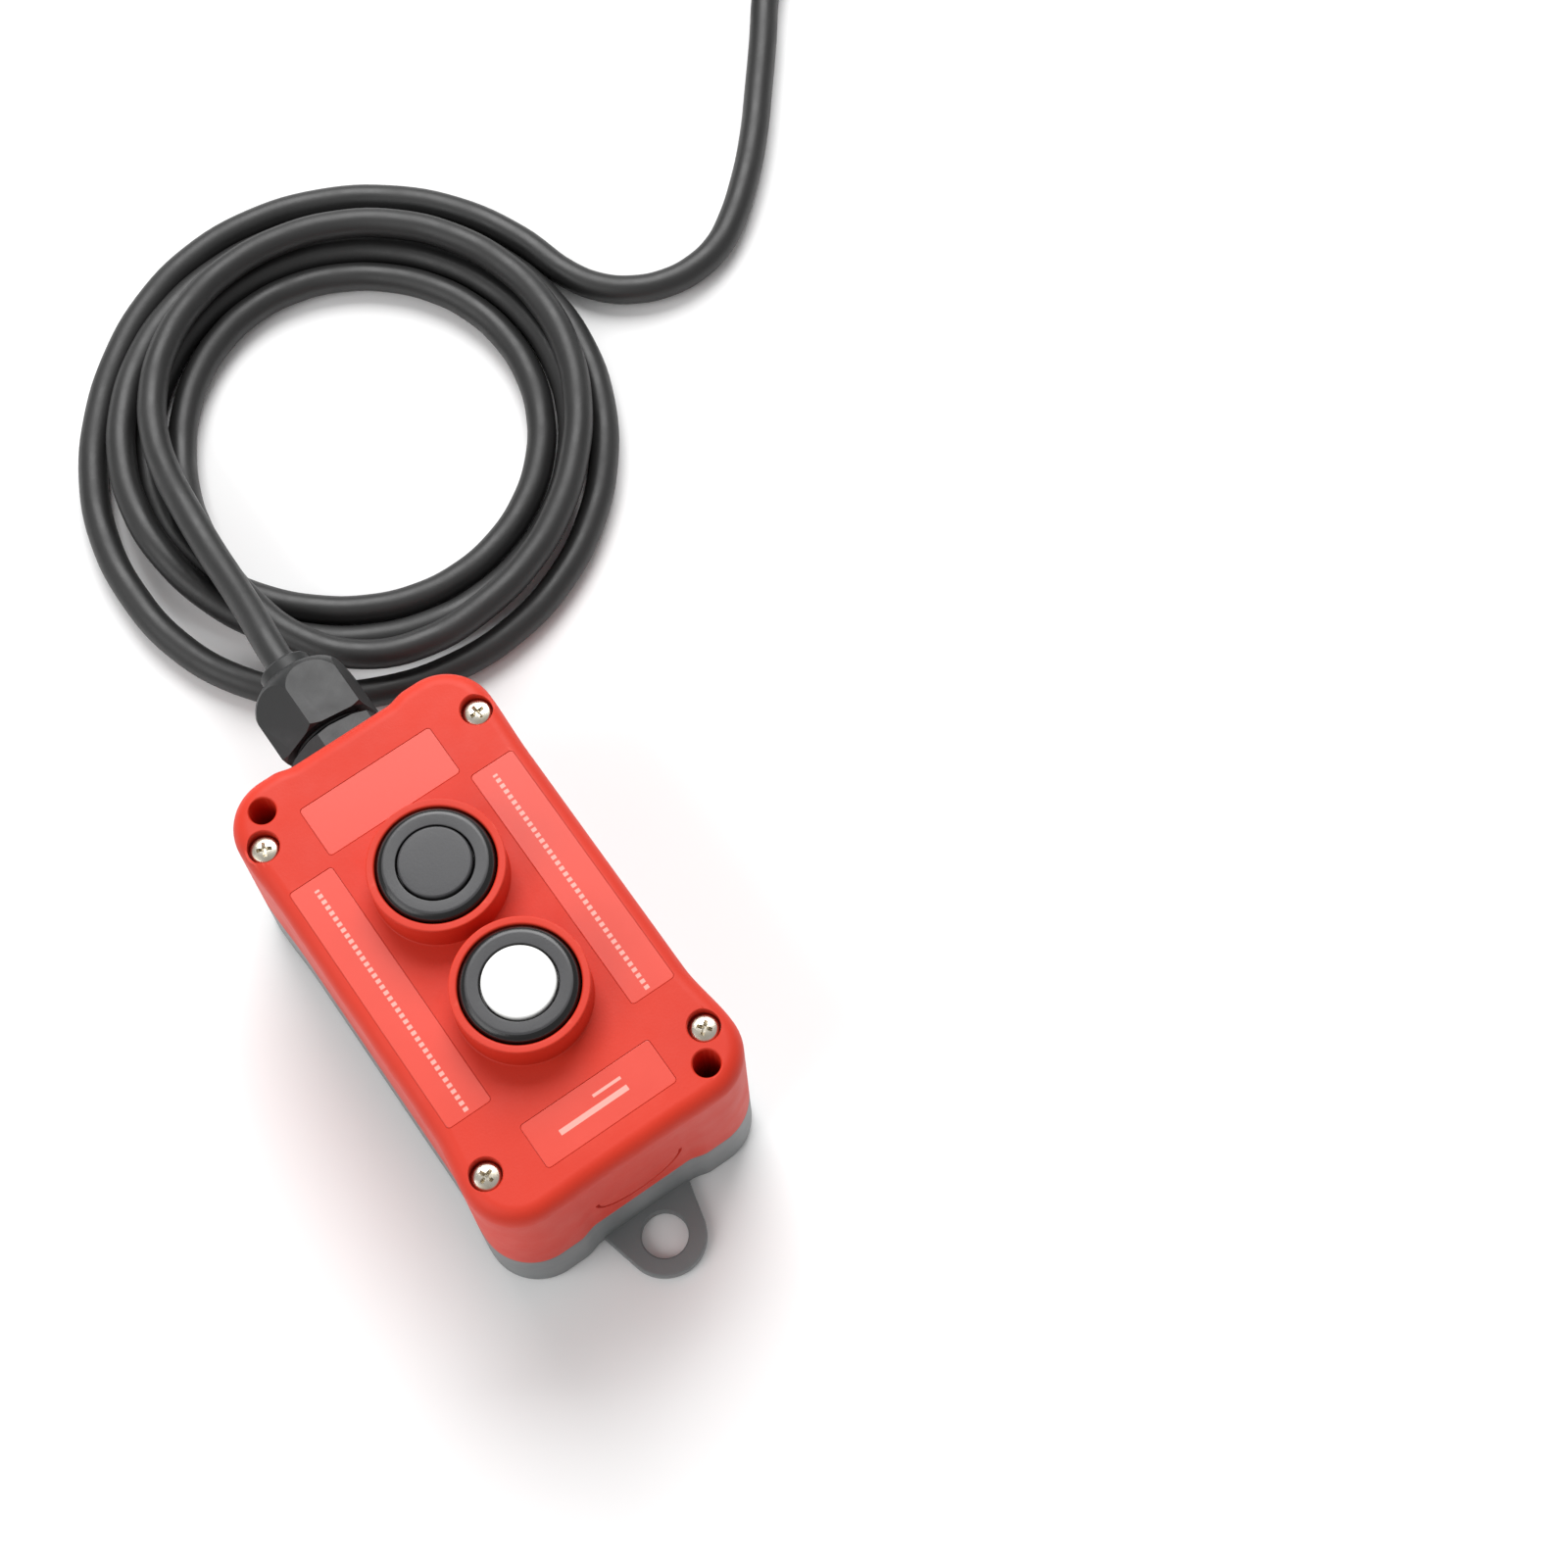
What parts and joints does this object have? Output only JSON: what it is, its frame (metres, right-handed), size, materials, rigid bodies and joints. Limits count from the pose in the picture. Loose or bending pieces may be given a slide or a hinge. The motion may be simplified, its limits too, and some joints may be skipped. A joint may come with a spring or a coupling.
{
  "type": "pendant control station",
  "caption": "Handheld push-button station with a red cover, a grey base with a hanging lug, two spring-return buttons, a cable gland and a coiled cable ending in a plug.",
  "frame": {"origin": "middle of the station at its back, without the cable", "axes": "+Z out of the cover face, +Y towards the cable gland, +X across the case"},
  "size_m": [0.29, 0.4188, 0.0671],
  "materials": {
    "red_shell": "satin",
    "grey_shell": "satin",
    "seal_rubber": "matte",
    "nickel_steel": "satin",
    "insert_brass": "satin",
    "label_film": "satin",
    "gland_nylon": "satin",
    "button_black": "satin",
    "cap_grey": "satin",
    "cap_white": "gloss",
    "block_moulding": "satin",
    "spring_steel": "polished",
    "contact_brass": "satin",
    "carrier_board": "matte",
    "core_brown": "satin",
    "core_black": "satin",
    "core_grey": "satin",
    "cable_sheath": "matte",
    "tie_strap": "satin"
  },
  "bodies": {
    "station": {"cover": "red_shell", "base": "grey_shell", "hanging_lug": "grey_shell", "cover_gasket": "seal_rubber", "cover_screws": "nickel_steel", "base_inserts": "insert_brass", "label_left": "label_film", "label_right": "label_film", "label_top": "label_film", "label_bottom": "label_film", "gland_body": "gland_nylon", "gland_washer": "seal_rubber", "gland_lock_nut": "gland_nylon", "gland_seal": "seal_rubber", "gland_claw": "gland_nylon", "gland_cap": "gland_nylon", "upper_bezel": "button_black", "upper_barrel": "button_black", "upper_panel_seal": "seal_rubber", "upper_back_nut": "button_black", "lower_bezel": "button_black", "lower_barrel": "button_black", "lower_panel_seal": "seal_rubber", "lower_back_nut": "button_black", "upper_block": "block_moulding", "upper_fixed_contacts": "contact_brass", "upper_terminal_screws": "nickel_steel", "lower_block": "block_moulding", "lower_fixed_contacts": "contact_brass", "lower_terminal_screws": "nickel_steel", "contact_carrier": "carrier_board", "carrier_screws": "nickel_steel", "core_common": "core_brown", "core_link": "core_brown", "core_up": "core_black", "core_down": "core_grey", "cable_inlet": "cable_sheath", "cable_lead": "cable_sheath", "cable_coil": "cable_sheath", "cable_run": "cable_sheath", "stored_coil": "cable_sheath", "coil_tie": "tie_strap", "cable_tail": "cable_sheath", "plug_body": "cable_sheath", "plug_insert": "gland_nylon", "plug_pins": "contact_brass"},
    "upper_button": {"upper_cap": "cap_grey", "upper_stem": "block_moulding", "upper_pusher": "block_moulding", "upper_bridge": "contact_brass", "upper_spring": "spring_steel", "upper_block_spring": "spring_steel"},
    "lower_button": {"lower_cap": "cap_white", "lower_stem": "block_moulding", "lower_pusher": "block_moulding", "lower_bridge": "contact_brass", "lower_spring": "spring_steel", "lower_block_spring": "spring_steel"}
  },
  "joints": [
    {"name": "upper_press", "type": "slide", "parent": "station", "child": "upper_button", "axis": [0, 0, -1], "range_m": [0, 0.0038], "stiffness_N_per_m": 600, "springref_m": -0.001, "deforming": ["upper_spring", "upper_block_spring"]},
    {"name": "lower_press", "type": "slide", "parent": "station", "child": "lower_button", "axis": [0, 0, -1], "range_m": [0, 0.0038], "stiffness_N_per_m": 600, "springref_m": -0.001, "deforming": ["lower_spring", "lower_block_spring"]}
  ]
}
